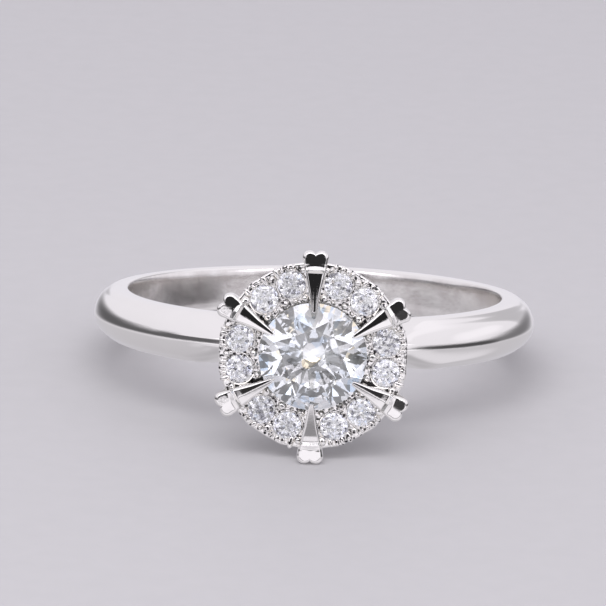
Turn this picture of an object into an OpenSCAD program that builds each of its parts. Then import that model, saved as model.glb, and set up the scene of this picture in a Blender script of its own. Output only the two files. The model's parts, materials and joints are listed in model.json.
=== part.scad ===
// Halo ring: a domed band with pinched shoulders, a round centre stone in six
// heart-ended claws, and a scalloped halo of small bead-set stones.
// It lies on its side, as it rests by itself: on the heart end of its lowest
// claw and on the back of the band. The head points to -Y.

/* [Band] */
// Inner diameter, the finger's size
finger_d = 17; // [15:0.5:20]
// Thickness from the bore to the crest of the domed outer face
band_t = 1.55; // [1.4:0.05:1.8]
// Radius of the dome across the outer face
dome_r = 2; // [1.8:0.1:2.4]
// Width at the back
back_w = 2.05; // [1.8:0.05:2.2]
// Width at the front, before the shoulders pinch in
front_w = 2.35; // [2.2:0.05:2.4]
// Width of the narrow rib that passes under the head
rib_w = 0.9; // [0.7:0.05:1]

/* [Centre stone] */
// Diameter across the girdle
centre_d = 4.7; // [4.5:0.05:4.8]
// Height of the girdle's upper edge over the face of the halo
centre_lift = 0.3; // [0.25:0.05:0.35]

/* [Halo] */
// Distance from the finger's axis to the face of the halo
face_y = 12.1; // [12:0.05:12.6]
// Thickness of the halo plate
plate_t = 0.8; // [0.7:0.05:0.9]
// Diameter of each small stone
small_d = 1.2; // [1.1:0.01:1.2]
// Radius of the circle that the small stones lie on
halo_r = 3.26; // [3.2:0.01:3.3]
// Angle between the two stones of a pair
pair_a = 23.5; // [23.5:0.25:25]

/* [Claws] */
// Distance from the centre stone's axis to the middle of a heart end
heart_r = 4.36; // [4.3:0.01:4.4]
// Radius of each of the two lobes of a heart end
lobe_r = 0.31; // [0.28:0.01:0.33]
// Distance of each lobe from the middle of its claw
lobe_off = 0.26; // [0.22:0.01:0.28]

/* [Clearance] */
// Gap between each stone and the metal round it
gap = 0.03; // [0.02:0.005:0.04]

/* [Hidden] */
$fn = 72;

claws = 6;
pairs = claws;
claw_step = 360 / claws;
halo_count = 2 * pairs;
halo_names = [for (i = [1:halo_count]) str("halo_stone_", i < 10 ? "0" : "", i)];

bore_r = finger_d / 2;
crest_r = bore_r + band_t;

// Cut of a round brilliant, as parts of its diameter, and its two angles.
table_part = 0.56;
girdle_part = 0.025;
crown_a = 34.5;
pavilion_a = 40.75;
star_part = 0.5;
lower_part = 0.77;
main_facets = 8;

// Claw sections along its length: distance from the stone's axis, half width,
// height of the top over the halo. crest_row is the sharp ridge across it.
claw_rows = [
    [2.00, 0.10, 0.80],
    [2.07, 0.12, 0.90],
    [3.25, 0.37, 0.72],
    [3.72, 0.45, 0.65],
    [3.85, 0.47, 0.76],
    [3.98, 0.48, 0.68],
    [heart_r, 0.56, 0.65],
];
crest_row = 4;
claw_sink = 0.4;
// Fall of a claw's two faces from its middle line to its sides.
roof_a = 10;

// Heart end: its outermost point in the side view, the height of its round
// underside, and how much slimmer the heart is than the rounds that carry it.
heart_end = [4.72, 0.62];
lobe_h = 0.28;
lobe_step = 0.005;

// Where the claw shafts stand on the collar, below the halo's face.
foot_r = 2.2;
foot_sink = 0.3;
foot_off = 0.13;
foot_lobe_r = 0.22;
collar_wall = 0.55;
collar_h = 0.75;
foot_h = crest_r - foot_sink - face_y;

// Halo plate: a scallop round each stone, and a taper below the face.
scallop_r = 0.87;
plate_core_r = 4.03;
plate_face_r = 4.3;
plate_back_r = 3.8;
plate_hole_r = 2.05;
seat_drill_r = 0.28;
small_lift = 0.02;

// Beads raised over the stones' edges: distance from the centre stone's axis,
// angle from the middle of the pair, radius of the bead.
bead_rows = [
    [2.64, 0, 0.16],
    [2.60, 20.5, 0.14],
    [2.60, -20.5, 0.14],
    [3.84, 3, 0.13],
    [3.84, -3, 0.13],
    [3.74, 22, 0.14],
    [3.74, -22, 0.14],
];
bead_h = 0.05;

// Petal-shaped end of each shoulder: a cone along the head's direction that
// the band stays inside, wider towards the finger.
petal_x = 5.9;
petal_z = -8;
petal_y = -9.05;
petal_r = 8.64;
petal_slope = 0.467;
petal_reach = 4.5;

// How far a cutter reaches past what it cuts.
over = 1;

// Rest: the tilt that brings the lowest heart end and the back of the band to
// one floor, and the shift that centres the ring over the origin.
back_half = back_w / 2;
back_edge_r = crest_r - dome_r + sqrt(dome_r * dome_r - back_half * back_half);
heart_y = face_y + lobe_h;
rest_run = heart_y + back_edge_r;
rest_drop = heart_r - back_half;
tilt = atan2(rest_drop, rest_run) + asin(lobe_r / norm([rest_run, rest_drop]));
rest_z = back_edge_r * sin(tilt) + back_half * cos(tilt);
crest_h = claw_rows[crest_row][2] / cos(roof_a);
front_y = -(face_y + crest_h) * cos(tilt) - claw_rows[crest_row][0] * sin(tilt);
back_y = (crest_r - dome_r) * cos(tilt) + dome_r;
rest_y = -(front_y + back_y) / 2;

function polar(r, a, z = 0) = [r * cos(a), r * sin(a), z];
function girdle_t(d) = girdle_part * d;
function crown_h(d) = d / 2 * (1 - table_part) * tan(crown_a);
function pavilion_h(d) = d / 2 * tan(pavilion_a);

// Lays the ring, built round Z with its head to -Y, on the floor.
module at_rest() {
    translate([0, rest_y, rest_z]) rotate([-tilt, 0, 0]) children();
}

// Puts a shape, built over the halo's face with Z away from the finger, on the head.
module on_head() {
    translate([0, -face_y, 0]) rotate([90, 0, 0]) children();
}

// Tapered round rod between two points.
module rod(from, to, r_from, r_to) {
    run = to - from;
    translate(from)
        rotate([0, acos(run[2] / norm(run)), atan2(run[1], run[0])])
            cylinder(h = norm(run), r1 = r_from, r2 = r_to);
}

// Round brilliant with its girdle's upper edge at z = 0. Each facet is a flat
// polygon; a girdle edge follows the circle in a few steps, at its facet's height.
module brilliant(d, steps) {
    r = d / 2;
    half = 180 / main_facets;
    corners = main_facets * 2 * steps;
    table_r = table_part * r;
    star_r = (1 - star_part) * table_r * cos(half) + star_part * r;
    lower_r = (1 - lower_part) * r;
    top = crown_h(d);
    bottom = -girdle_t(d);
    star_z = (r - star_r * cos(half)) * tan(crown_a);
    lower_z = (r - lower_r * cos(half)) * tan(pavilion_a);

    // Fall of a girdle facet's plane from its chord's ends to a point on the circle.
    function bulge(i) = r * (cos(180 / corners * (2 * (i % steps) - steps)) / cos(half / 2) - 1);
    chord_mid = r * cos(half / 2);
    upper_fall = star_z / (chord_mid - star_r * cos(half / 2)) * cos(half / 2);
    lower_fall = lower_z / (chord_mid - lower_r * cos(half / 2)) * cos(half / 2);

    table_at = 0;
    star_at = table_at + main_facets;
    upper_at = star_at + main_facets;
    under_at = upper_at + corners;
    lower_at = under_at + corners;
    culet_at = lower_at + main_facets;
    points = concat(
        [for (k = [0:main_facets - 1]) polar(table_r, 2 * half * k, top)],
        [for (k = [0:main_facets - 1]) polar(star_r, half * (2 * k + 1), star_z)],
        [for (i = [0:corners - 1]) polar(r, 360 * i / corners, -upper_fall * bulge(i))],
        [for (i = [0:corners - 1]) polar(r, 360 * i / corners, bottom + lower_fall * bulge(i))],
        [for (k = [0:main_facets - 1]) polar(lower_r, half * (2 * k + 1), bottom - lower_z)],
        [[0, 0, bottom - pavilion_h(d)]]
    );

    function next(k) = (k + 1) % main_facets;
    function last(k) = (k + main_facets - 1) % main_facets;
    function arc(at, start) = [for (j = [0:steps]) at + (start + j) % corners];
    function flip(list) = [for (j = [len(list) - 1:-1:0]) list[j]];
    faces = concat(
        [[for (k = [main_facets - 1:-1:0]) table_at + k]],
        [for (k = [0:main_facets - 1]) [table_at + k, table_at + next(k), star_at + k]],
        [for (k = [0:main_facets - 1])
            [table_at + k, star_at + k, upper_at + 2 * steps * k, star_at + last(k)]],
        [for (k = [0:main_facets - 1], side = [0, 1])
            concat([star_at + k], flip(arc(upper_at, (2 * k + side) * steps)))],
        [for (i = [0:corners - 1])
            [upper_at + i, upper_at + (i + 1) % corners, under_at + (i + 1) % corners, under_at + i]],
        [for (k = [0:main_facets - 1], side = [0, 1])
            concat([lower_at + k], arc(under_at, (2 * k + side) * steps))],
        [for (k = [0:main_facets - 1])
            [culet_at, lower_at + last(k), under_at + 2 * steps * k, lower_at + k]]
    );
    polyhedron(points, faces);
}

// Space that a stone and its gap take, with the side over the girdle as given.
module seat(d, upper_side) {
    r = d / 2 + gap;
    under = -girdle_t(d) - gap;
    rotate_extrude()
        polygon(concat([[0, under - r * tan(pavilion_a)], [r, under]], upper_side));
}

module centre_seat() {
    r = centre_d / 2 + gap;
    top = crown_h(centre_d) + gap;
    table_r = table_part * centre_d / 2 + gap;
    translate([0, 0, centre_lift])
        seat(centre_d, [[r, gap], [table_r, top], [0, top]]);
}

module halo_seat() {
    r = small_d / 2 + gap;
    top = crown_h(small_d) + 2 * gap;
    translate([0, 0, small_lift])
        seat(small_d, [[r, top], [0, top]]);
    translate([0, 0, -plate_t - over]) cylinder(h = plate_t + over, r = seat_drill_r);
}

// Angle of small stone i, from the first, about the centre stone's axis.
function halo_a(i) = claw_step * floor((i - 1) / 2) + (i % 2 == 1 ? -1 : 1) * pair_a / 2;

module at_halo(i) {
    rotate([0, 0, halo_a(i)]) translate([halo_r, 0, 0]) children();
}

// Half of the band's width, as the distance of its flat side from the middle
// plane at y. The sides slope from the back's width to the front's.
function half_w(y) = (back_w + (front_w - back_w) * (crest_r - y) / (2 * crest_r)) / 2;

module band() {
    reach = crest_r + over;
    difference() {
        intersection() {
            rotate_extrude() translate([crest_r - dome_r, 0]) circle(dome_r);
            rotate([90, 0, 90])
                linear_extrude(height = 2 * reach, center = true)
                    polygon([
                        [-reach, -half_w(-reach)], [reach, -half_w(reach)],
                        [reach, half_w(reach)], [-reach, half_w(-reach)],
                    ]);
        }
        for (side = [0, 1], face = [0, 1])
            mirror([side, 0, 0]) mirror([0, 0, face]) shoulder_cut();
    }
}

// What is taken off the band above one petal: a block outside the petal's cone.
module shoulder_cut() {
    difference() {
        translate([-over, -crest_r - over, rib_w / 2])
            cube([petal_x + over, crest_r + over, front_w]);
        translate([petal_x, petal_y - petal_reach / 2, petal_z])
            rotate([-90, 0, 0])
                cylinder(
                    h = 2 * petal_reach,
                    r1 = petal_r - petal_slope * petal_reach / 2,
                    r2 = petal_r + petal_slope * petal_reach * 1.5
                );
    }
}

module halo_plate() {
    intersection() {
        translate([0, 0, -plate_t]) union() {
            cylinder(h = plate_t, r = plate_core_r);
            for (i = [1:halo_count]) at_halo(i) cylinder(h = plate_t, r = scallop_r);
        }
        translate([0, 0, -plate_t]) cylinder(h = plate_t, r1 = plate_back_r, r2 = plate_face_r);
    }
}

module beads() {
    for (k = [0:pairs - 1], row = bead_rows)
        rotate([0, 0, claw_step * k + row[1]])
            translate([row[0], 0, bead_h]) sphere(row[2]);
}

// Plan of a claw along X: the long taper and the two lobes of its heart end.
module claw_plan() {
    translate([0, 0, -claw_sink])
        linear_extrude(height = claw_sink + over)
            polygon(concat(
                [for (row = claw_rows) [row[0], -row[1]]],
                [for (j = [len(claw_rows) - 1:-1:0]) [claw_rows[j][0], claw_rows[j][1]]]
            ));
    for (side = [-1, 1])
        translate([heart_r, side * lobe_off, lobe_h])
            cylinder(h = over, r = lobe_r - lobe_step);
}

// Side view of a claw, carried across it and turned about its length.
module claw_side(turn) {
    rotate([90 + turn, 0, 0])
        linear_extrude(height = 2 * over, center = true)
            polygon(concat(
                [[claw_rows[0][0], -claw_sink]],
                [for (row = claw_rows) [row[0], row[2]]],
                [heart_end, [heart_end[0], lobe_h], [claw_rows[crest_row][0], -claw_sink]]
            ));
}

// Long claw with a ridge down its middle: its plan crossed with two side views.
module claw_blade() {
    intersection() {
        claw_plan();
        claw_side(roof_a);
        claw_side(-roof_a);
    }
}

// Rounds under the heart end and the shaft of a claw, down to the collar.
module claw_shaft() {
    for (side = [-1, 1]) {
        top = [heart_r, side * lobe_off, lobe_h];
        translate(top) sphere(lobe_r);
        rod(top, [foot_r, side * foot_off, foot_h], lobe_r, foot_lobe_r);
    }
}

module collar() {
    translate([0, 0, foot_h - collar_h / 2])
        difference() {
            cylinder(h = collar_h, r = foot_r + collar_wall / 2);
            translate([0, 0, -over])
                cylinder(h = collar_h + 2 * over, r = foot_r - collar_wall / 2);
        }
}

// Everything of metal: one casting with its claws, beads and seats.
module mounting() {
    color("gainsboro") at_rest() difference() {
        union() {
            band();
            on_head() {
                difference() {
                    halo_plate();
                    translate([0, 0, -plate_t - over])
                        cylinder(h = plate_t + 2 * over, r = plate_hole_r);
                }
                beads();
                collar();
                for (k = [0:claws - 1])
                    rotate([0, 0, claw_step * (k + 0.5)]) {
                        claw_blade();
                        claw_shaft();
                    }
            }
        }
        cylinder(h = front_w + 2 * over, r = bore_r, center = true);
        on_head() {
            centre_seat();
            for (i = [1:halo_count]) at_halo(i) halo_seat();
        }
    }
}

module centre_stone() {
    color("aliceblue") at_rest() on_head()
        translate([0, 0, centre_lift]) brilliant(centre_d, 4);
}

module halo_stone(i) {
    color("aliceblue") at_rest() on_head()
        at_halo(i) translate([0, 0, small_lift]) brilliant(small_d, 2);
}

mounting();
centre_stone();
for (i = [1:halo_count])
    halo_stone(i);
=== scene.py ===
import json
import math

import bmesh
import bpy
import numpy as np
from mathutils import Matrix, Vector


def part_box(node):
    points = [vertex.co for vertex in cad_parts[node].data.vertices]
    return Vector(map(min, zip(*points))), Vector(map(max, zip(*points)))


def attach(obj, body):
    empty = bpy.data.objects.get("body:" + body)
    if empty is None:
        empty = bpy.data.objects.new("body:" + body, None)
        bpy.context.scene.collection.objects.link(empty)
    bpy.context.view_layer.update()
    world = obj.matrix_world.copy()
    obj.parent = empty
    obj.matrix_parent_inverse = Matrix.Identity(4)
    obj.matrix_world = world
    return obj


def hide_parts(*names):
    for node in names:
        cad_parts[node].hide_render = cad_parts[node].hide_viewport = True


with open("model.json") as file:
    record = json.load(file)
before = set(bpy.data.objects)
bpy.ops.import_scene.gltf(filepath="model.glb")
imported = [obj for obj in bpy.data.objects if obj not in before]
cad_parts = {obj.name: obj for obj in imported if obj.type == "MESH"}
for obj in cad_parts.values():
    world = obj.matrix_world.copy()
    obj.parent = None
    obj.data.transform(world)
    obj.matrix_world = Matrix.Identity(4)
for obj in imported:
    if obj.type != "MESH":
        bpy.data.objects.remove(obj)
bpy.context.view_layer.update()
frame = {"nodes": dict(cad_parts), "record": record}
print("stage 1: frame loaded")

mm = 0.001
weld = 2e-6   # metres: points of a piece that lie closer are one

# The ring's own axes, in mm from the finger's centre: x across, y away from the head,
# z along the finger.
bore = next(m for m in frame["record"]["mounts"] if m["name"] == "finger_bore")
ringCentre = np.array(bore["pos_m"])
fingerAxis = np.array(bore["axis"])
sideAxis = np.array([1.0, 0.0, 0.0])
backAxis = np.cross(fingerAxis, sideAxis)
ringAxes = np.stack([sideAxis, backAxis, fingerAxis])
boreR = bore["dims"]["r_mm"]
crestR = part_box("mounting")[1].x / mm   # the band's outer radius

# The head that holds the stones, in mm and degrees. Its axes are u to the right, v up along the
# finger and h out from the halo's face.
head = {
    "faceY": 12.1,      # from the finger's centre to the halo's face
    "claws": 6,
    "centreR": 2.35,    # centre stone's girdle
    "centreLift": 0.3,  # its upper edge over the face
    "crown": 34.5,
    "pavilion": 40.75,
    "smallR": 0.6,      # halo stones
    "haloR": 3.26,      # circle that they lie on
    "pairAngle": 23.5,  # between the two of a pair
    "gap": 0.03,        # between stones and metal
}
clawAngles = [2 * math.pi * (k + 0.5) / head["claws"] for k in range(head["claws"])]
pairAngles = [2 * math.pi * k / head["claws"] for k in range(head["claws"])]
halfPair = math.radians(head["pairAngle"] / 2)
stoneAngles = np.array([a + s * halfPair for a in pairAngles for s in (-1, 1)])
crownSlope = math.tan(math.radians(head["crown"]))
pavilionSlope = math.tan(math.radians(head["pavilion"]))
centreEdge = head["centreR"] + head["gap"]


def toRow(points):
    # Ring axes in mm to the row frame in metres.
    return points * mm @ ringAxes + ringCentre


def fromHead(u, v, h):
    # Head axes to ring axes: the face looks along the ring's -y.
    return np.stack(np.broadcast_arrays(u, -head["faceY"] - h, v), -1)


def fromClaw(r, t, h, angle):
    # A claw's own axes (out from the stone, across, up) turned by its angle on the face.
    c, s = math.cos(angle), math.sin(angle)
    return fromHead(r * c - t * s, r * s + t * c, h)


def between(first, last, share):
    # The first value at share 0, the last at share 1, and in a straight line between them.
    return first + (last - first) * share


def softMin(a, b, k):
    # The lower of two surfaces, with the edge between them rounded over about k.
    return (a + b - np.sqrt((a - b) ** 2 + k * k)) / 2


def softMax(a, b, k):
    # The higher of two surfaces, rounded the same way.
    return -softMin(-a, -b, k)


def smoothStep(x):
    # From 0 to 1 with level ends: three times the square less twice the cube.
    x = np.clip(x, 0, 1)
    return x * x * (3 - 2 * x)


def onceRound(count):
    # Evenly spaced angles, once round.
    return np.linspace(0, 2 * np.pi, count, endpoint=False)


def bunched(count, pull):
    # Values from 0 to 1 that crowd towards both ends: a straight line less one wave of a sine.
    x = np.linspace(0, 1, count)
    return x - pull * np.sin(2 * np.pi * x) / (2 * np.pi)


def gridFaces(rows, columns, wrapRows, wrapColumns):
    # Four corners of every cell of a grid, as indices into its points.
    i = np.arange(rows if wrapRows else rows - 1)[:, None]
    j = np.arange(columns if wrapColumns else columns - 1)[None, :]
    up, on = (i + 1) % rows, (j + 1) % columns
    cells = [i * columns + j, up * columns + j, up * columns + on, i * columns + on]
    return np.stack([np.broadcast_to(c, (i.size, j.size)) for c in cells], -1).reshape(-1, 4)


def enclosed(points, faces):
    # Six times the signed volume: the sum of the faces' cones to the origin.
    a, b, c, d = (points[faces[:, k]] for k in range(4))
    return np.einsum("ij,ij->i", a, np.cross(b, c) + np.cross(c, d)).sum()


def shellOf(grid, wrapRows=False, wrapColumns=False, keep=None):
    # A grid of points as (points, faces), turned so that it looks outwards. Of its faces, those
    # stay whose middles pass keep.
    points = grid.reshape(-1, 3)
    faces = gridFaces(*grid.shape[:2], wrapRows, wrapColumns)
    if enclosed(points, faces) < 0:
        faces = faces[:, ::-1]
    if keep is not None:
        faces = faces[keep(points[faces].mean(1))]
    return points, faces


def linked(name, data):
    # A new object of this data, in the scene.
    made = bpy.data.objects.new(name, data)
    bpy.context.scene.collection.objects.link(made)
    return made


def pieceOf(name, shells, material):
    # Joins shells to one mesh in the row frame, closes their seams and poles, and gives it its
    # finish. Each piece stands for a part of the soldered mounting.
    starts = np.cumsum([0] + [len(p) for p, _ in shells[:-1]])
    world = toRow(np.concatenate([p for p, _ in shells]))
    faces = np.concatenate([f + s for (_, f), s in zip(shells, starts)])
    mesh = bpy.data.meshes.new(name)
    mesh.vertices.add(len(world))
    mesh.vertices.foreach_set("co", world.astype(np.float32).ravel())
    mesh.loops.add(faces.size)
    mesh.loops.foreach_set("vertex_index", faces.astype(np.int32).ravel())
    mesh.polygons.add(len(faces))
    mesh.polygons.foreach_set("loop_start", np.arange(0, faces.size, 4, dtype=np.int32))
    mesh.update(calc_edges=True)
    work = bmesh.new()
    work.from_mesh(mesh)
    bmesh.ops.remove_doubles(work, verts=work.verts, dist=weld)
    bmesh.ops.dissolve_degenerate(work, edges=work.edges, dist=weld / 4)
    work.to_mesh(mesh)
    work.free()
    mesh.polygons.foreach_set("use_smooth", np.ones(len(mesh.polygons), bool))
    mesh.materials.append(material)
    made = linked(name, mesh)
    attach(made, "root")
    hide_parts("mounting")


class Wire:
    # A shader socket that takes part in Python's own sums: each one adds a Math node.
    def __init__(self, tree, socket):
        self.tree, self.socket = tree, socket

    def reckon(self, operation, other=0.0, swapped=False):
        # One Math node of this wire and another value, which comes first where swapped.
        made = self.tree.nodes.new("ShaderNodeMath")
        made.operation = operation
        first, second = (other, self) if swapped else (self, other)
        plug(self.tree, made.inputs[0], first)
        plug(self.tree, made.inputs[1], second)
        return Wire(self.tree, made.outputs[0])

    def __add__(self, other):
        return self.reckon("ADD", other)

    def __radd__(self, other):
        return self.reckon("ADD", other, swapped=True)

    def __sub__(self, other):
        return self.reckon("SUBTRACT", other)

    def __rsub__(self, other):
        return self.reckon("SUBTRACT", other, swapped=True)

    def __mul__(self, other):
        return self.reckon("MULTIPLY", other)

    def __rmul__(self, other):
        return self.reckon("MULTIPLY", other, swapped=True)

    def __truediv__(self, other):
        return self.reckon("DIVIDE", other)

    def __rtruediv__(self, other):
        return self.reckon("DIVIDE", other, swapped=True)

    def __abs__(self):
        return self.reckon("ABSOLUTE")


def plug(tree, slot, value):
    # Joins a wire to a slot, or sets a plain number or colour.
    if isinstance(value, Wire):
        tree.links.new(value.socket, slot)
    else:
        slot.default_value = value


def slotOf(sockets, key):
    # A socket by its identifier, or by its name with spaces for underscores.
    byId = {s.identifier: s for s in sockets}
    return byId[key] if key in byId else sockets[key.replace("_", " ")]


class Shader:
    # A material or sky being made: its last shader node and the nodes behind it.
    def __init__(self, block, kind):
        block.use_nodes = True
        self.block, self.tree = block, block.node_tree
        self.shader = next(n for n in self.tree.nodes if n.type == kind)

    def node(self, kind, settings=(), out=0, **values):
        # Any node: its type, its settings, which of its outputs to use, and its sockets' values.
        made = self.tree.nodes.new("ShaderNode" + kind)
        for key, value in dict(settings).items():
            if key == "stops":
                while len(made.color_ramp.elements) < len(value):
                    made.color_ramp.elements.new(1)
                for element, (place, colour) in zip(made.color_ramp.elements, value):
                    element.position, element.color = place, colour
            elif key == "steps":
                made.color_ramp.interpolation = "CONSTANT"
            else:
                setattr(made, key, value)
        for key, value in values.items():
            plug(self.tree, slotOf(made.inputs, key), value)
        found = slotOf(made.outputs, out) if isinstance(out, str) else made.outputs[out]
        return Wire(self.tree, found)

    def set(self, **values):
        # The last shader's own sockets.
        for key, value in values.items():
            plug(self.tree, slotOf(self.shader.inputs, key), value)

    def noise(self, place, scale, detail):
        # A value round 0.5 that drifts from place to place.
        return self.node("TexNoise", Vector=place, Scale=scale, Detail=detail)

    def cells(self, place, scale, out, feature="F1"):
        # Scattered cells: how far the nearest one's middle is, or that cell's own random colour.
        return self.node("TexVoronoi", {"feature": feature}, out=out, Vector=place, Scale=scale)

    def mix(self, share, first, second):
        # The first colour where the share is 0, the second where it is 1.
        return self.node(
            "Mix", {"data_type": "RGBA"}, out="Result_Color",
            Factor_Float=share, A_Color=first, B_Color=second,
        )

    def bump(self, strength, distance, height, **below):
        # Tilts the normal as if the surface stood out by the distance where the height is 1.
        return self.node("Bump", Strength=strength, Distance=distance, Height=height, **below)

    def vector(self, operation, first, second=(0, 0, 0), out="Vector"):
        # Sums of places and directions.
        return self.node(
            "VectorMath", {"operation": operation}, out=out, Vector=first, Vector_001=second,
        )

    def fade(self, value, low, high, first=0.0, last=1.0, curve="LINEAR"):
        # From first, where the value is low, to last, where it is high, and held beyond both.
        return self.node(
            "MapRange", {"interpolation_type": curve},
            Value=value, From_Min=low, From_Max=high, To_Min=first, To_Max=last,
        )


def finish(name):
    # A new material with one plain shader.
    return Shader(bpy.data.materials.new(name), "BSDF_PRINCIPLED")


# White gold: a near-mirror polish with faint hairlines, a slow unevenness and a little drift in
# colour. A noise is (how fine per metre, detail), cells are per metre, and depths in metres.
goldLook = {
    "pale": (0.94, 0.925, 0.895, 1),
    "deep": (0.87, 0.855, 0.825, 1),
    "cloud": (320.0, 3.0),
    "wear": (2600.0, 5.0),
    "hairline": (3400.0, 2.0),
    "drawn": 14.0,               # how much closer the hairlines lie along z
    "roughLow": 0.01,
    "roughSpan": 0.08,
    "bump": 0.05,
    "bumpDeep": 0.00002,
    "boreFade": (0.12, 0.03),    # mm outside the bore where its look starts, and where it is full
    "boreRough": 0.20,           # the bore is satin, not polished, and its colour carries painted shade in clouds
    # painted shade: a darker colour, laid in mottled clouds, stands in for the shade and dim
    # reflections inside the band
    "boreDeep": (0.56, 0.51, 0.495, 1),
    "boreCloud": (800.0, 3.0),
    "boreClouds": (0.3, 0.7),    # noise that counts as clear and as clouded
    "boreShare": (0.05, 0.55),   # and the painted shade colour's share in each
    "boreWaves": 0.30,
    "boreWaveDeep": 0.0001,
    "dents": 5200.0,             # cut grain of the halo
    "grain": 0.35,
    "grainDeep": 0.00006,
    "grainWear": 0.6,
    "pits": 6400.0,              # and cells painted dark as the shade of pits, near the face alone
    # painted shade: the near-black colour painted into the pits
    "pitColour": (0.06, 0.055, 0.06, 1),
    "pitCore": (0.46, 0.36),     # from a cell's middle, in cells: pit starts, and is full
    "pitShare": 0.38,            # of the cells
    "pitEdge": 0.02,
    "pitFade": (0.10, 0.04),     # mm under the face: pits start, and are full
}


def whiteGold(name, grained=False):
    # Clouds shift the colour, and with finer wear the roughness. Hairlines and clouds give the
    # relief. A mask by the distance from the finger's axis makes the bore satin, and lays painted
    # shade on it in clouds of its own. Grained metal has dented cells, and a share of other, finer
    # cells are painted dark as the shade in pits.
    look, made = goldLook, finish(name)
    place = made.node("TexCoord", out="Object")
    cloud = made.noise(place, *look["cloud"])
    wear = made.noise(place, *look["wear"])
    drawn = made.node("Mapping", Vector=place, Scale=(1.0, 1.0, look["drawn"]))
    hairlines = made.noise(drawn, *look["hairline"])
    colour = made.mix(cloud, look["deep"], look["pale"])
    relief = made.bump(look["bump"], look["bumpDeep"], hairlines + cloud)

    arm = made.vector("SUBTRACT", place, tuple(ringCentre))
    off = made.vector("CROSS_PRODUCT", arm, tuple(fingerAxis))
    away = made.vector("LENGTH", off, out="Value")
    inside = made.fade(away, *((boreR + over) * mm for over in look["boreFade"]))
    # Painted shade on the bore: clouds lay a darker colour over the inner wall.
    clouds = made.noise(place, *look["boreCloud"])
    boreShadeMask = inside * made.fade(clouds, *look["boreClouds"], *look["boreShare"])
    colour = made.mix(boreShadeMask, colour, look["boreDeep"])
    relief = made.bump(look["boreWaves"] * inside, look["boreWaveDeep"], clouds, Normal=relief)

    if grained:
        dents = made.cells(place, look["dents"], "Distance", "SMOOTH_F1")
        height = dents + look["grainWear"] * wear
        relief = made.bump(look["grain"], look["grainDeep"], height, Normal=relief)
        # Painted shade: a share of fine cells near the face get a near-black colour, as the shadow
        # in pits.
        core = made.cells(place, look["pits"], "Distance")
        pick = made.node("SeparateColor", out="Red", Color=made.cells(place, look["pits"], "Color"))
        forward = made.vector("DOT_PRODUCT", arm, tuple(-backAxis), out="Value")
        face = made.fade(forward, *((head["faceY"] - under) * mm for under in look["pitFade"]))
        pitShade = face * made.fade(core, *look["pitCore"])
        pitShade = pitShade * made.fade(pick, look["pitShare"], look["pitShare"] - look["pitEdge"])
        colour = made.mix(pitShade, colour, look["pitColour"])

    rough = look["roughLow"] + look["roughSpan"] * wear * cloud + look["boreRough"] * inside
    made.set(Metallic=1.0, Base_Color=colour, Roughness=rough, Normal=relief)
    return made.block


# Diamond: clear and cold, with scattered cells painted with its facets' light: a little blue or
# amber as painted fire, grey and near-black as painted dim reflections, and cells with a painted
# white glow. Each stop is where a painted tint starts, in the cells' own values.
diamondLook = {
    "ior": 2.417,
    "waves": 0.2,
    "waveDeep": 0.0001,
    "stir": 0.06,       # noise's share in which tint a cell gets
    "stirFine": 0.5,    # the noise is this fine beside the cells
    "stirDetail": 2.0,
    "flashSpan": 0.2,
}
centreLook = {
    "cells": 1500.0,    # per metre
    # painted facet light: amber and blue as painted fire, slate grey as painted dim reflection,
    # near-white as clear stone
    "fire": [
        (0.00, (1.0, 0.80, 0.45, 1)),
        (0.04, (0.98, 0.99, 1.0, 1)),
        (0.27, (0.60, 0.78, 1.0, 1)),
        (0.32, (0.98, 0.99, 1.0, 1)),
        (0.40, (0.90, 0.95, 1.0, 1)),
        (0.62, (0.56, 0.62, 0.70, 1)),
        (0.72, (0.97, 0.98, 1.0, 1)),
        (0.90, (0.50, 0.71, 1.0, 1)),
        (0.95, (0.98, 0.99, 1.0, 1)),
    ],
    # painted glow: faint white emission in the flashing cells
    "flash": 0.04,
    "flashFrom": 0.25,
    "culetFlash": 0.2,     # more of it near the culet
    "culetReach": 0.0012,  # metres
}
smallLook = {
    "cells": 8000.0,
    # painted facet light: a near-black stop as painted dark reflection, amber and blue as painted
    # fire
    "fire": [
        (0.00, (1.0, 0.88, 0.76, 1)),
        (0.04, (0.10, 0.10, 0.13, 1)),
        (0.22, (0.99, 0.99, 1.0, 1)),
        (0.58, (0.72, 0.74, 0.90, 1)),
        (0.78, (0.98, 0.98, 1.0, 1)),
        (0.94, (0.60, 0.72, 1.0, 1)),
    ],
    "flash": 0.10,
    "flashFrom": 0.24,
    "culetFlash": 0.0,
    "culetReach": 0.001,
}


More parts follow.
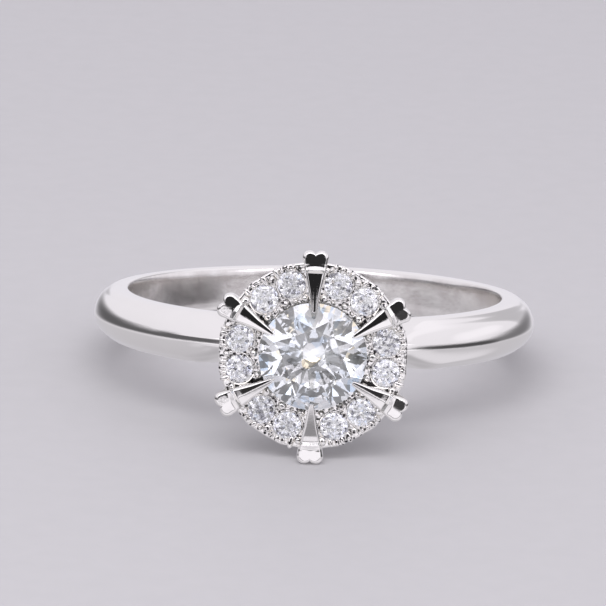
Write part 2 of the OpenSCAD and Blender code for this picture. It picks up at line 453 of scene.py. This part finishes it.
def diamond(name, look):
    # Each cell's value, stirred by noise, picks a painted tint of facet light, from painted fire to
    # painted dim reflections. Above flashFrom it also fades in a faint painted white glow, which
    # grows towards the centre stone's culet.
    made = finish(name)
    place = made.node("TexCoord", out="Object")
    stir = made.noise(place, look["cells"] * diamondLook["stirFine"], diamondLook["stirDetail"])
    pick = made.node("SeparateColor", out="Red", Color=made.cells(place, look["cells"], "Color"))
    picked = pick * (1 - diamondLook["stir"]) + diamondLook["stir"] * stir
    # Painted facet light: the cell's value picks a painted tint for the stone's colour.
    fire = made.node("ValToRGB", {"stops": look["fire"], "steps": True}, Fac=picked)
    waves = made.bump(diamondLook["waves"], diamondLook["waveDeep"], stir)
    culet = toRow(fromHead(0.0, 0.0, head["centreLift"] - head["centreR"] * pavilionSlope))
    far = made.vector("DISTANCE", place, tuple(culet), out="Value")
    near = made.fade(far, look["culetReach"], 0.0, curve="SMOOTHSTEP")
    # Painted glow: a faint white emission in the flashing cells, stronger near the culet, though
    # the stone is no lamp.
    flashes = made.fade(pick, look["flashFrom"], look["flashFrom"] + diamondLook["flashSpan"])
    flash = (look["flash"] + look["culetFlash"] * near) * flashes
    made.set(
        Base_Color=fire, Transmission_Weight=1.0, IOR=diamondLook["ior"], Roughness=0.0,
        Normal=waves, Emission_Strength=1.0,
        Emission_Color=made.node("CombineColor", Red=flash, Green=flash, Blue=flash),
    )
    return made.block


gold = whiteGold("white_gold")
grainGold = whiteGold("white_gold_grained", grained=True)
centreDiamond = diamond("centre_diamond", centreLook)
smallDiamond = diamond("small_diamond", smallLook)
for name, node in frame["nodes"].items():
    if "stone" in name:
        node.data.materials.clear()
        node.data.materials.append(centreDiamond if name == "centre_stone" else smallDiamond)
print("stage 2: finishes made")

# Band: a low section with a faint ridge along its middle, carried round the finger
# and pinched at the shoulders to a rib under the head.
band = {
    "ridgeAt": -0.08,   # the ridge lies a little under the middle
    "ridgeRound": 0.2,
    "roof": 0.19,       # slope of both faces beside the ridge, at the front
    "sideRoof": 0.36,   # and at the sides
    "swell": 0.5,       # how much steeper they get towards the edges
    "backHalf": 1.025,  # half widths
    "frontHalf": 1.175,
    "ribHalf": 0.45,
    "ribSoft": 0.1,
    "petalX": 5.9,      # cone along y that cuts each shoulder's petal
    "petalY": -9.05,
    "petalZ": -8.0,
    "petalR": 8.64,
    "petalSlope": 0.467,
    "petalSoft": 0.06,
    "middleR": 9.2,     # the section's rays start here
    "edgeIn": 0.3,      # the outer edge's width is taken this far under the crest
    "outerEdge": 3.3,   # powers of the blend: a lower one rounds the edge more
    "boreEdge": 24.0,
    "backBoreEdge": 6.5,
    "backFrom": 0.25,   # cosine of the turn where the bore's edge starts to change
    "powerSpan": 1.4,   # of the rays' cosine, from the bore on, while the power changes
    "steps": 660,
    "ridgeSpan": 0.21,  # radians that the ridge takes up in a section
    "points": (13, 15, 15, 9),  # on ridge, face, side and bore
    "crowd": 0.7,       # how closely they crowd at the edges
}


def bandHalf(r, turn):
    # Half width over the plan: straight sides from back to front, less what lies outside the
    # petal's cone.
    x, y = np.abs(r * np.sin(turn)), -r * np.cos(turn)
    side = between(band["backHalf"], band["frontHalf"], (crestR - y) / (2 * crestR))
    coneR = band["petalR"] + band["petalSlope"] * (y - band["petalY"])
    inside = np.minimum(x - band["petalX"], 0)
    petal = np.sqrt(np.maximum(coneR**2 - inside**2, 0)) + band["petalZ"]
    return softMin(side, softMax(petal, band["ribHalf"], band["ribSoft"]), band["petalSoft"])


def bandDrop(z, turn):
    # How far the outer face falls from the ridge: a rounded roof plus a fourth power.
    off = np.abs(z - band["ridgeAt"])
    soft = band["ridgeRound"]
    slope = between(band["roof"], band["sideRoof"], np.sin(turn) ** 2)
    roof = slope * (np.sqrt(off**2 + soft**2) - soft)
    return roof + band["swell"] * band["frontHalf"] / 4 * (off / band["frontHalf"]) ** 4


def rayLength(outside, shape, far=3.0, halvings=24):
    # Where rays leave a form, by halving: outside(length) is positive beyond it.
    near, beyond = np.zeros(shape), np.full(shape, far)
    for _ in range(halvings):
        middle = (near + beyond) / 2
        out = outside(middle) > 0
        near, beyond = np.where(out, near, middle), np.where(out, middle, beyond)
    return beyond


def bandShell():
    # From the section's middle, a ray at each angle meets the outer face, the flat side and the
    # bore, and a power mean of the three distances rounds the edges between them.
    turn = onceRound(band["steps"])[:, None]
    middle = band["middleR"]
    outerHalf = bandHalf(crestR - band["edgeIn"], turn)
    outerEdge = np.arctan2(outerHalf, crestR - bandDrop(outerHalf, turn) - middle)
    boreEdge = np.arctan2(bandHalf(boreR, turn), boreR - middle)
    ridge, crowd = band["ridgeSpan"], band["crowd"]
    onRidge, onFace, onSide, onBore = band["points"]
    half = np.concatenate([
        ridge * np.linspace(0, 1, onRidge) + 0 * turn,
        between(ridge, outerEdge, bunched(onFace, crowd)[1:]),
        between(outerEdge, boreEdge, bunched(onSide, crowd)[1:]),
        between(boreEdge, np.pi, bunched(onBore, crowd)[1:]),
    ], 1)
    angle = np.concatenate([half, -half[:, -2:0:-1]], 1)
    run, rise = np.cos(angle), np.sin(angle)
    toOuter = rayLength(lambda t: middle + t * run + bandDrop(t * rise, turn) - crestR, angle.shape)
    toSide = rayLength(lambda t: np.abs(t * rise) - bandHalf(middle + t * run, turn), angle.shape)
    toBore = rayLength(lambda t: boreR - middle - t * run, angle.shape)
    back = smoothStep(band["backFrom"] - np.cos(turn))
    inner = between(band["boreEdge"], band["backBoreEdge"], back)
    power = between(inner, band["outerEdge"], smoothStep((run + 1) / band["powerSpan"]))
    reach = (toOuter**-power + toBore**-power + toSide**-power) ** (-1 / power)
    r = middle + reach * run
    return shellOf(np.stack([r * np.sin(turn), -r * np.cos(turn), reach * rise], -1), True, True)


pieceOf("band", [bandShell()], gold)
print("stage 3: band")

# Halo plate: a scalloped disc with a conical, drilled seat for each small stone.
plate = {
    "thick": 0.8,
    "coreR": 4.10,
    "scallopR": 0.88,
    "scallopSoft": 0.03,
    "backR": 3.8,
    "holeR": 2.05,
    "rim": 0.1,         # rounding of the upper edge
    "lift": 0.02,       # small stones' girdle over the face
    "girdle": 0.03,
    "seatOver": 0.004,  # how much wider than its stone a seat is
    "lip": 0.035,       # metal that stands up against each stone: height, place and width
    "lipAt": 0.03,
    "lipWide": 0.035,
    "centreDrop": 0.15,  # from the centre stone's upper edge down to its seat
    "drillR": 0.28,
    "drillOver": 0.01,  # how far round the hole the plate's faces are left out
    "tubeR": 0.31,      # drilled hole's wall: outside, how far it stands in, top and overlap
    "tubeIn": 0.02,
    "tubeTop": -0.325,
    "tubeLow": 0.004,
    "tubeSteps": 36,
    "steps": 720,
    "points": (72, 8, 6, 26),  # on face, rim, wall and back
}


def toStone(u, v):
    # Distance in the face to the nearest small stone's axis.
    du = u[..., None] - head["haloR"] * np.cos(stoneAngles)
    dv = v[..., None] - head["haloR"] * np.sin(stoneAngles)
    return np.sqrt(du**2 + dv**2).min(-1)


def plateEdge(angle):
    # The outline's radius: the disc, or the far side of the circle round the nearest stone.
    turn = (angle[..., None] - stoneAngles + np.pi) % (2 * np.pi) - np.pi
    across = head["haloR"] * np.sin(turn)
    meets = (np.abs(across) < plate["scallopR"]) & (np.abs(turn) < np.pi / 2)
    lobe = head["haloR"] * np.cos(turn) + np.sqrt(np.maximum(plate["scallopR"] ** 2 - across**2, 0))
    return softMax(plate["coreR"], np.where(meets, lobe, 0).max(-1), plate["scallopSoft"])


def plateTop(u, v):
    # Height of the face: flat, with a cone and a raised lip at each seat, and a cone for the
    # centre stone. The lip is a bell curve of the distance from the seat's edge.
    seatR = head["smallR"] + plate["seatOver"]
    d = toStone(u, v)
    seat = plate["lift"] - plate["girdle"] - head["gap"] - (seatR - d) * pavilionSlope
    lip = plate["lip"] * np.exp(-(((d - seatR - plate["lipAt"]) / plate["lipWide"]) ** 2))
    small = np.where(d < seatR, seat, lip)
    depth = (centreEdge - np.hypot(u, v)) * pavilionSlope
    return np.minimum(small, head["centreLift"] - plate["centreDrop"] - depth)


def plateShell():
    # Round the stone's axis, a closed section: face, rounded rim, tapered wall, back and hole.
    angle = onceRound(plate["steps"])[:, None]
    onFace, onRim, onWall, onBack = plate["points"]
    edge, rim, thick = plateEdge(angle), plate["rim"], plate["thick"]
    faceR = between(plate["holeR"], edge - rim, np.linspace(0, 1, onFace))
    bend = np.linspace(0, np.pi / 2, onRim)[1:]
    rimR = edge - rim + rim * np.sin(bend)
    wall = np.linspace(0, 1, onWall)[1:]
    wallR = between(edge, plate["backR"], wall)
    backR = between(plate["backR"], plate["holeR"], np.linspace(0, 1, onBack)[1:]) + 0 * angle
    r = np.concatenate([faceR, rimR, wallR, backR], 1)
    u, v = r * np.cos(angle), r * np.sin(angle)
    h = np.concatenate([
        plateTop(u, v)[:, :onFace],
        np.broadcast_to(rim * np.cos(bend) - rim, rimR.shape),
        np.broadcast_to(-rim - (thick - rim) * wall, wallR.shape),
        np.full(backR.shape, -thick),
    ], 1)

    def solid(middles):
        # Not over a drilled hole, where u and v are the ring's x and z.
        return toStone(middles[:, 0], middles[:, 2]) > plate["drillR"] + plate["drillOver"]

    return shellOf(fromHead(u, v, h), True, True, keep=solid)


def drillShell(angle):
    # Wall of a drilled hole: a thin tube from the seat's cone to the plate's back.
    turn = onceRound(plate["tubeSteps"])[:, None]
    inside, outside = plate["drillR"] - plate["tubeIn"], plate["tubeR"]
    high, low = plate["tubeTop"], -plate["thick"] - plate["tubeLow"]
    r = np.array([inside, outside, outside, inside])
    h = np.array([high, high, low, low])
    u = head["haloR"] * math.cos(angle) + r * np.cos(turn)
    v = head["haloR"] * math.sin(angle) + r * np.sin(turn)
    return shellOf(fromHead(u, v, h), True, True)


pieceOf("halo_plate", [plateShell()] + [drillShell(a) for a in stoneAngles], grainGold)
print("stage 4: halo plate")

# Claws: a long taper with a ridge down its middle, a cross crest and a heart end with
# rounded rims.
claw = {
    "tipR": 2.0,         # from the stone's axis
    "tipRound": 0.11,
    "heartR": 4.36,      # middle of the heart's two lobes
    "lobeR": 0.31,
    "lobeOff": 0.26,
    "lobeFrom": -12,     # degrees round the lobe where the straight side joins it
    "roof": 10,          # fall of both faces from the ridge, in degrees, and of the hearts'
    "heartRoof": 4,
    "ridgeSoft": 0.03,   # rounding of the ridge, and of the hearts'
    "heartSoft": 0.16,
    "heartBlend": 0.3,   # from the crest, how far out these change over
    "faceAt": 2.07,      # long face: height here, and its fall
    "faceTop": 0.90,
    "faceFall": 0.12,
    "faceBow": 0.022,    # and how much the fall grows on the way out
    "hipR": 3.44,        # steeper from here to the crest
    "hipFall": 0.05,
    "crestR": 3.85,      # cross crest: a low roof, steeper on its inner side
    "crestTop": 0.77,
    "crestIn": 1.1,
    "crestOut": 0.6,
    "crestSoft": 0.012,
    "crestFoot": 0.015,
    "endTop": 0.69,      # heart's face: height at the crest and its fall
    "endFall": 0.08,
    "rim": 0.12,         # rounding of the edges, and of the hearts'
    "heartRim": 0.17,
    "rimShare": 0.42,    # of the half width, at most
    "rimFrom": 0.1,      # from the crest, where the rim starts to widen
    "midShort": 0.06,    # the middle line ends this far before the lobes' middle
    "lobeH": 0.28,       # height of the rounds that carry the heart
    "slim": 0.14,        # how much the heart narrows towards its foot
    "sink": 0.25,        # how deep the underside lies in the plate
    "underOut": 0.01,    # underside over the centre stone: clear of its edge and its crown
    "underLift": 0.05,
    "tipPoints": 9,
    "seatPoints": 8,
    "facePoints": 34,
    "crestPoints": 41,
    "endPoints": 8,
    "lobePoints": 40,
    "seatRuns": (0.005, 0.015),               # where these runs end and start: from the centre
    "crestRuns": (-0.17, -0.16, 0.16, 0.18),  # stone's edge, and from the crest
    "faceRows": (0, 0.04, 0.09, 0.15, 0.25, 0.38, 0.52, 0.66, 0.8, 0.92),
    "rimRows": 9,
    "sideRows": (0.15, 0.3, 0.45, 0.6, 0.8, 1),
    "underRows": (0.6, 0.3, 0),
}

# Shafts: two round lobes side by side under each heart, from the collar up.
shaft = {
    "footR": 2.2,
    "footH": -2.35,
    "footOff": 0.13,
    "footLobe": 0.22,
    "inset": 0.012,      # how much thinner than the heart's lobes they end
    "steps": 64,
    "rows": (0, 0, 0.15, 0.3, 0.45, 0.6, 0.75, 0.88, 1, 1),  # way up, with both ends closed
}
shaftLean = (claw["heartR"] - shaft["footR"]) / (claw["lobeH"] - shaft["footH"])


def clawOutline():
    # Plan of a claw, from the middle of its tip along one side and round a lobe to the notch, and
    # back mirrored: a quarter round, a straight taper and an arc. Points stand on both sides of
    # the step that the centre stone's edge makes in the underside, and close to the crest.
    lobeStart = math.radians(claw["lobeFrom"])
    notch = math.acos(-claw["lobeOff"] / claw["lobeR"])
    lobe = np.linspace(lobeStart, notch, claw["lobePoints"])
    lobeR = claw["heartR"] + claw["lobeR"] * np.sin(lobe)
    lobeT = claw["lobeOff"] + claw["lobeR"] * np.cos(lobe)
    tip = np.linspace(np.pi, np.pi / 2 - lobeStart, claw["tipPoints"])
    tipR = claw["tipR"] + claw["tipRound"] * (1 + np.cos(tip))
    tipT = claw["tipRound"] * np.sin(tip)
    seatEnd, faceStart = (centreEdge + off for off in claw["seatRuns"])
    faceEnd, crestStart, crestEnd, endStart = (claw["crestR"] + off for off in claw["crestRuns"])
    sideR = np.concatenate([
        np.linspace(tipR[-1], seatEnd, claw["seatPoints"])[1:],
        np.linspace(faceStart, faceEnd, claw["facePoints"]),
        np.linspace(crestStart, crestEnd, claw["crestPoints"]),
        np.linspace(endStart, lobeR[0], claw["endPoints"])[:-1],
    ])
    sideT = np.interp(sideR, [tipR[-1], lobeR[0]], [tipT[-1], lobeT[0]])
    r = np.concatenate([tipR, sideR, lobeR])
    t = np.concatenate([tipT, sideT, lobeT])
    t[[0, -1]] = 0
    return np.concatenate([r, r[-2:0:-1]]), np.concatenate([t, -t[-2:0:-1]])


def clawTop(r, t):
    # Height of the claw's face: a bowed long slope and a flat end, joined under the low roof of
    # the crest, with a fall to both sides.
    out, crest = r - claw["faceAt"], claw["crestR"]
    slope = claw["faceTop"] - claw["faceFall"] * out - claw["faceBow"] * out * np.abs(out)
    long = slope - claw["hipFall"] * np.maximum(r - claw["hipR"], 0)
    end = claw["endTop"] - claw["endFall"] * (r - crest)
    steep = np.where(r < crest, claw["crestIn"], claw["crestOut"])
    roof = claw["crestTop"] - steep * (np.hypot(r - crest, claw["crestSoft"]) - claw["crestSoft"])
    ridge = softMax(np.where(r < crest, long, end), roof, claw["crestFoot"])
    heart = smoothStep((r - crest) / claw["heartBlend"])
    soft = between(claw["ridgeSoft"], claw["heartSoft"], heart)
    fall = between(claw["roof"], claw["heartRoof"], heart)
    return ridge - (np.sqrt(t**2 + soft**2) - soft) * np.tan(np.radians(fall))


def clawBottom(r, t):
    # Underside: clear of the centre stone's crown at the tip, and sunk in the plate behind its
    # girdle.
    away = np.hypot(r, t)
    edge = centreEdge + claw["underOut"]
    crown = head["centreLift"] + claw["underLift"] + crownSlope * (edge - away)
    return np.where(away < edge, crown, -claw["sink"])


def clawShell(angle):
    # Rows from the middle line out to the outline, over a rounded rim, down the side and back
    # under. Below the heart, the side follows the shaft's lean.
    outR, outT = clawOutline()
    midEnd = claw["heartR"] - claw["midShort"]
    midR = np.clip(outR, claw["tipR"] + claw["tipRound"], midEnd)
    width = np.hypot(outR - midR, outT)
    rimStart = claw["crestR"] + claw["rimFrom"]
    heart = smoothStep((outR - rimStart) / (midEnd - rimStart))
    rim = np.minimum(between(claw["rim"], claw["heartRim"], heart), claw["rimShare"] * width)
    rows = []
    for share in claw["faceRows"]:
        s = share * (1 - rim / width)
        r, t = between(midR, outR, s), outT * s
        rows.append((r, t, clawTop(r, t)))
    for bend in np.linspace(0, np.pi / 2, claw["rimRows"]):
        s = 1 - rim / width * (1 - math.sin(bend))
        r, t = between(midR, outR, s), outT * s
        rows.append((r, t, clawTop(r, t) - rim * (1 - math.cos(bend))))
    brow, under = rows[-1][2], clawBottom(outR, outT)
    for share in claw["sideRows"]:
        h = between(brow, under, share)
        deep = np.maximum(claw["lobeH"] - h, 0)
        slim = 1 - heart * claw["slim"] * smoothStep(deep / (claw["lobeH"] + claw["sink"]))
        r = between(claw["heartR"], outR, slim) - heart * shaftLean * deep
        rows.append((r, outT * slim, h))
    lowR, lowT, _ = rows[-1]
    backR = midR + (lowR - outR)
    for share in claw["underRows"]:
        r, t = between(backR, lowR, share), lowT * share
        rows.append((r, t, np.where(under > -claw["sink"], clawBottom(r, t), under)))
    r, t, h = (np.stack(part) for part in zip(*rows))
    return shellOf(fromClaw(r, t, h, angle), False, True)


def shaftShell(angle):
    # The far side of two circles side by side, from their middle, carried up to the heart end and
    # square to the way that the shaft leans. Both ends close to a point.
    foot = np.array([shaft["footR"], shaft["footH"]])
    top = np.array([claw["heartR"], claw["lobeH"]])
    along = (top - foot) / np.linalg.norm(top - foot)
    outwards = np.array([along[1], -along[0]])
    turn = onceRound(shaft["steps"])
    share = np.array(shaft["rows"])[:, None]
    size = np.ones(share.shape)
    size[[0, -1]] = 0
    lobe = between(shaft["footLobe"], claw["lobeR"] - shaft["inset"], share)
    off = between(shaft["footOff"], claw["lobeOff"], share)
    radius = size * (off * np.abs(np.cos(turn)) + np.sqrt(lobe**2 - (off * np.sin(turn)) ** 2))
    r, h = (between(foot[k], top[k], share) + outwards[k] * radius * np.sin(turn) for k in (0, 1))
    return shellOf(fromClaw(r, radius * np.cos(turn), h, angle), False, True)


# Collar: the ring that the claws' shafts stand on, over the rib.
collar = {
    "r": 2.2,
    "halfWall": 0.275,
    "halfHeight": 0.375,
    "squareness": 6.0,
    "steps": 160,
    "points": 40,
}


def collarShell():
    # A rounded rectangle, as a power curve, carried round the stone's axis.
    turn = onceRound(collar["steps"])[:, None]
    way = onceRound(collar["points"])
    n = collar["squareness"]
    wide = np.abs(np.cos(way) / collar["halfWall"])
    high = np.abs(np.sin(way) / collar["halfHeight"])
    size = (wide**n + high**n) ** (-1 / n)
    r, h = collar["r"] + size * np.cos(way), shaft["footH"] + size * np.sin(way)
    return shellOf(fromHead(r * np.cos(turn), r * np.sin(turn), h), True, True)


pieceOf("claws", [clawShell(a) for a in clawAngles], gold)
pieceOf("shafts", [shaftShell(a) for a in clawAngles] + [collarShell()], gold)
print("stage 5: claws, shafts and collar")

# Beads: what holds the small stones, raised from the plate round each one. A row is (from the
# stone's axis, degrees from the pair's middle, radius, stretch outwards, height).
beads = {
    "seed": 7,
    "stray": 0.5,         # degrees that a bead strays round the halo
    "sizes": (0.8, 1.2),  # how much its radius, stretch and height vary
    "under": -0.3,        # latitude that it starts at, in the plate
    "points": (10, 20),   # up and round
    "rows": [
        (2.58, 0, 0.18, 1.0, 0.22),
        (2.55, 20.5, 0.17, 1.0, 0.22),
        (2.55, -20.5, 0.17, 1.0, 0.22),
        (2.96, 0, 0.10, 1.2, 0.15),
        (3.56, 0, 0.10, 1.2, 0.15),
        (3.74, 0, 0.17, 1.1, 0.2),
        (3.78, 22.3, 0.18, 1.0, 0.2),
        (3.78, -22.3, 0.18, 1.0, 0.2),
        (3.90, 4.4, 0.115, 1.8, 0.13),
        (3.90, -4.4, 0.115, 1.8, 0.13),
        (3.95, 8.4, 0.11, 1.5, 0.12),
        (3.95, -8.4, 0.11, 1.5, 0.12),
        (3.95, 12.4, 0.11, 1.5, 0.12),
        (3.95, -12.4, 0.11, 1.5, 0.12),
        (3.92, 16.6, 0.12, 1.8, 0.14),
        (3.92, -16.6, 0.12, 1.8, 0.14),
        (2.50, 10.5, 0.10, 1.0, 0.14),
        (2.50, -10.5, 0.10, 1.0, 0.14),
    ],
}


def beadShell(r, angle, size, stretch, tall):
    # A dome, longer along the way out: a sphere's latitudes and longitudes, from a little under
    # the face.
    rows, columns = beads["points"]
    up = np.linspace(beads["under"], np.pi / 2, rows)[:, None]
    turn = onceRound(columns)
    a = size * stretch * np.cos(up) * np.cos(turn)
    b = size * np.cos(up) * np.sin(turn)
    h = tall * np.sin(up) + 0 * turn
    return shellOf(fromClaw(r + a, b, h, angle), False, True)


def beadShells():
    # The rows of beads round each pair of stones. A fixed random draw moves and sizes each bead.
    uneven = np.random.default_rng(beads["seed"])
    shells = []
    for pair in pairAngles:
        for r, turn, *form in beads["rows"]:
            angle = pair + math.radians(turn + uneven.normal(0, beads["stray"]))
            form = np.array(form) * uneven.uniform(*beads["sizes"], 3)
            shells.append(beadShell(r, angle, *form))
    return shells


pieceOf("beads", beadShells(), grainGold)
print("stage 6: beads")

# Stage: pale floor in a white tent, with a bright ring of light round a dark flag for the lens.
# Directions are in degrees up from the horizon, and to the right of the side where the camera
# stands. A card is (right, up, half width, half height, lean, light).
stage = {
    "floorR": 0.3,         # metres
    "floorSides": 96,
    "floor": (0.43, 0.4225, 0.431, 1),
    "floorRough": 0.6,
    "floorShine": 0.25,
    "floorGrain": (900.0, 4.0),
    "floorDrift": 0.03,    # how much paler and deeper the grain is
    "key": {"place": (-0.03, -0.18, 0.25), "side": 0.3, "power": 0.6},  # metres, watts
    "tint": (1.0, 0.972, 1.05),   # of the whole sky
    "tent": [              # up, light
        (-90, 0.42), (-60, 0.56), (-20, 0.60), (-8, 0.82), (6, 0.87), (30, 0.90), (90, 0.93),
    ],
    "cards": [
        (0, -60, 60, 16, 0, 0.76),       # paper in front of the ring
        (0, -32, 60, 14, 0, 0.95),
        (0, -19.5, 40, 4.5, 0, 0.28),
        (0, -7, 56, 6.5, 0, 1.05),
        (85, -50, 40, 18, 0, 0.78),      # lamps to the right
        (105, 17, 22, 8, 0, 1.0),
        (125, 70, 40, 25, 0, 1.0),
        (30, 45, 30, 16, 0, 0.75),
        (152, 13, 12, 20, 0, 0.55),      # dark gaps between the paper and the tent's wall
        (112, -6, 50, 8, 0, 0.20),
        (82, -3.5, 28, 8, -0.22, 0.08),
        (-112, -2, 54, 8, 0.1, 0.12),
        (-66, 7, 24, 9, 0.1, 0.12),
        (0, 1.5, 58, 2.2, 0, 0.05),
    ],
    "lensUp": 17.8,
    "ring": (40, 47, 58),  # from the lens, its light starts, fades and ends at these angles
    "ringLight": 1.1,
    "ringTop": 3.4,
    "overhead": (20, 45),  # up, where ringLight starts to turn to ringTop, and has done
    "lensSoft": 0.02,      # as a cosine
    "flagTop": 38,
    "flagLow": [(0, 5), (7, 5), (9, 3), (20, 2), (33, 1.5), (90, 1.5)],    # to a side, up
    "flagLeft": [(0, 44), (5, 42), (9, 36), (90, 36)],                     # up, to the left
    "flagRight": [(0, 44), (10, 37), (16, 33), (22, 29), (30, 25), (90, 25)],  # up, to the right
    "flagSoft": {"low": 1, "top": 3, "side": 1.5},
    "flag": [(0, 0.04), (9, 0.03), (19, 0.02), (90, 0.02)],                # up, light
    "glints": [(-17.5, 14.2, 1.9, 1.9, 0), (21, 13.8, 2.4, 2.4, 0)],       # holes in the flag
    "underFlag": 1.1,
    "horizonSoft": 0.2,
    "besideLens": (11, 0, 6, 5.5, 0, 0.05),  # a last dark card, over all the rest
}


def paper(name):
    # Matt and almost even: a fine noise drifts between a deeper and a paler tone.
    made = finish(name)
    place = made.node("TexCoord", out="Object")
    grain = made.noise(place, *stage["floorGrain"])
    deeper, paler = (
        tuple(c * (1 + drift) for c in stage["floor"][:3]) + (1,)
        for drift in (-stage["floorDrift"], stage["floorDrift"])
    )
    made.set(
        Base_Color=made.mix(grain, deeper, paler), Roughness=stage["floorRough"],
        Specular_IOR_Level=stage["floorShine"],
    )
    return made.block


def floorDisc():
    # A flat disc under the ring, at the height of its lowest point.
    turn = onceRound(stage["floorSides"])
    ring = stage["floorR"] * np.stack([np.cos(turn), np.sin(turn), 0 * turn], -1)
    mesh = bpy.data.meshes.new("floor")
    mesh.from_pydata(ring.tolist(), [], [list(range(len(ring)))])
    mesh.materials.append(paper("floor"))
    made = linked("floor", mesh)
    made.visible_glossy = False   # the metal mirrors the tent's lower half in its place


def lookFrom(place, aim, roll):
    # A matrix at place whose -Z points at aim, turned about it so that its x axis leans up by roll.
    back = (place - aim) / np.linalg.norm(place - aim)
    right = np.cross([0, 0, 1], back)
    right /= np.linalg.norm(right)
    up = np.cross(back, right)
    c, s = math.cos(roll), math.sin(roll)
    turned = np.eye(4)
    turned[:3] = np.stack([right * c + up * s, up * c - right * s, back, place], 1)
    return Matrix(turned.tolist())


def keyLight():
    # A square soft box that looks at the middle of the floor and shows in no mirror or stone.
    key = stage["key"]
    data = bpy.data.lights.new("key", "AREA")
    data.shape, data.size, data.size_y = "RECTANGLE", key["side"], key["side"]
    data.energy = key["power"]
    made = linked("key", data)
    made.matrix_world = lookFrom(np.array(key["place"]), np.zeros(3), 0)
    made.visible_glossy = made.visible_transmission = False


def sky():
    # Light by direction: the tent's curve with its cards laid over it, the ring of light round the
    # lens over that, and the flag over the ring. Ring and flag stop at the horizon.
    made = Shader(bpy.data.worlds.new("tent"), "BACKGROUND")
    bpy.context.scene.world = made.block
    way = made.node("TexCoord", out="Generated")
    x, y, z = (made.node("SeparateXYZ", out=axis, Vector=way) for axis in "XYZ")
    up = z.reckon("ARCSINE") * math.degrees(1)
    right = x.reckon("ARCTAN2", 0.0 - y) * math.degrees(1)

    def grow(value, low, high):
        # 0 up to low and 1 from high on, with level ends.
        return made.fade(value, float(low), float(high), curve="SMOOTHSTEP")

    def over(value, edge, soft):
        # 1 where the value is over the edge, which is soft to both sides.
        return grow(value, edge - soft, edge + soft)

    def laid(below, above, cover):
        # One light laid over another, by its cover.
        return below * (1 - cover) + above * cover

    def curve(value, knots, low=0):
        # Straight runs between knots (value, result), as a ramp from low to 90 degrees.
        peak = max(result for _, result in knots)
        stops = [((at - low) / (90 - low), (result / peak,) * 3 + (1,)) for at, result in knots]
        return peak * made.node("ValToRGB", {"stops": stops}, Fac=(value - low) / (90 - low))

    def card(cardRight, cardUp, wide, high, lean):
        # 1 in the middle of a soft bar of directions: falls with the fourth power across and the
        # square up.
        across = (right - cardRight) / wide
        above = (up - cardUp - lean * (right - cardRight)) / high
        square = across * across
        return 1 - over(square * square + above * above, 1, 1)

    tent = curve(up, stage["tent"], -90)
    for *bar, light in stage["cards"]:
        tent = laid(tent, light, card(*bar))

    lensUp = math.radians(stage["lensUp"])
    toLens = z * math.sin(lensUp) - y * math.cos(lensUp)
    starts, fades, ends = (math.cos(math.radians(a)) for a in stage["ring"])
    ring = grow(toLens, ends, fades)
    glow = laid(stage["ringLight"], stage["ringTop"], grow(up, *stage["overhead"]))
    upper = tent * (1 - ring + glow * ring)
    upper = laid(upper, stage["underFlag"], over(toLens, starts, stage["lensSoft"]))

    soft = stage["flagSoft"]
    flag = over(up - curve(abs(right), stage["flagLow"]), 0, soft["low"])
    flag = flag * (1 - over(up, stage["flagTop"], soft["top"]))
    flag = flag * over(right + curve(up, stage["flagLeft"]), 0, soft["side"])
    flag = flag * (1 - over(right - curve(up, stage["flagRight"]), 0, soft["side"]))
    for glint in stage["glints"]:
        flag = flag * (1 - card(*glint))
    upper = laid(upper, curve(up, stage["flag"]), flag)

    whole = laid(tent, upper, over(up, 0, stage["horizonSoft"]))
    *bar, light = stage["besideLens"]
    whole = laid(whole, light, card(*bar))
    red, green, blue = (share * whole for share in stage["tint"])
    made.set(Color=made.node("CombineColor", Red=red, Green=green, Blue=blue), Strength=1.0)


# Camera: long lens in front of the head, tipped down, with the photograph's slight roll.
view = {
    "distance": 247.6,   # mm from the finger's centre
    "elevation": 17.78,  # degrees over the floor
    "roll": 1.71,
    "aim": (-0.507, 0.548),  # mm right and up of the finger's centre
    "focalPixels": 5425.2,
    "picture": 606,      # pixels
    "sensor": 36.0,      # mm
    "clip": (0.01, 10),
}


def camera():
    # Stands at its distance and elevation from the finger's centre, and aims a little beside it.
    data = bpy.data.cameras.new("camera")
    data.sensor_width = view["sensor"]
    data.lens = view["focalPixels"] / view["picture"] * view["sensor"]
    data.clip_start, data.clip_end = view["clip"]
    made = linked("camera", data)
    tip, roll = math.radians(view["elevation"]), math.radians(view["roll"])
    place = ringCentre + view["distance"] * mm * np.array([0, -math.cos(tip), math.sin(tip)])
    axes = np.array(lookFrom(place, ringCentre, roll))
    aim = ringCentre + (axes[:3, 0] * view["aim"][0] + axes[:3, 1] * view["aim"][1]) * mm
    made.matrix_world = lookFrom(place, aim, roll)
    bpy.context.scene.camera = made


floorDisc()
sky()
keyLight()
camera()
bpy.context.scene.view_settings.view_transform = "Standard"
print("stage 7: stage and camera")
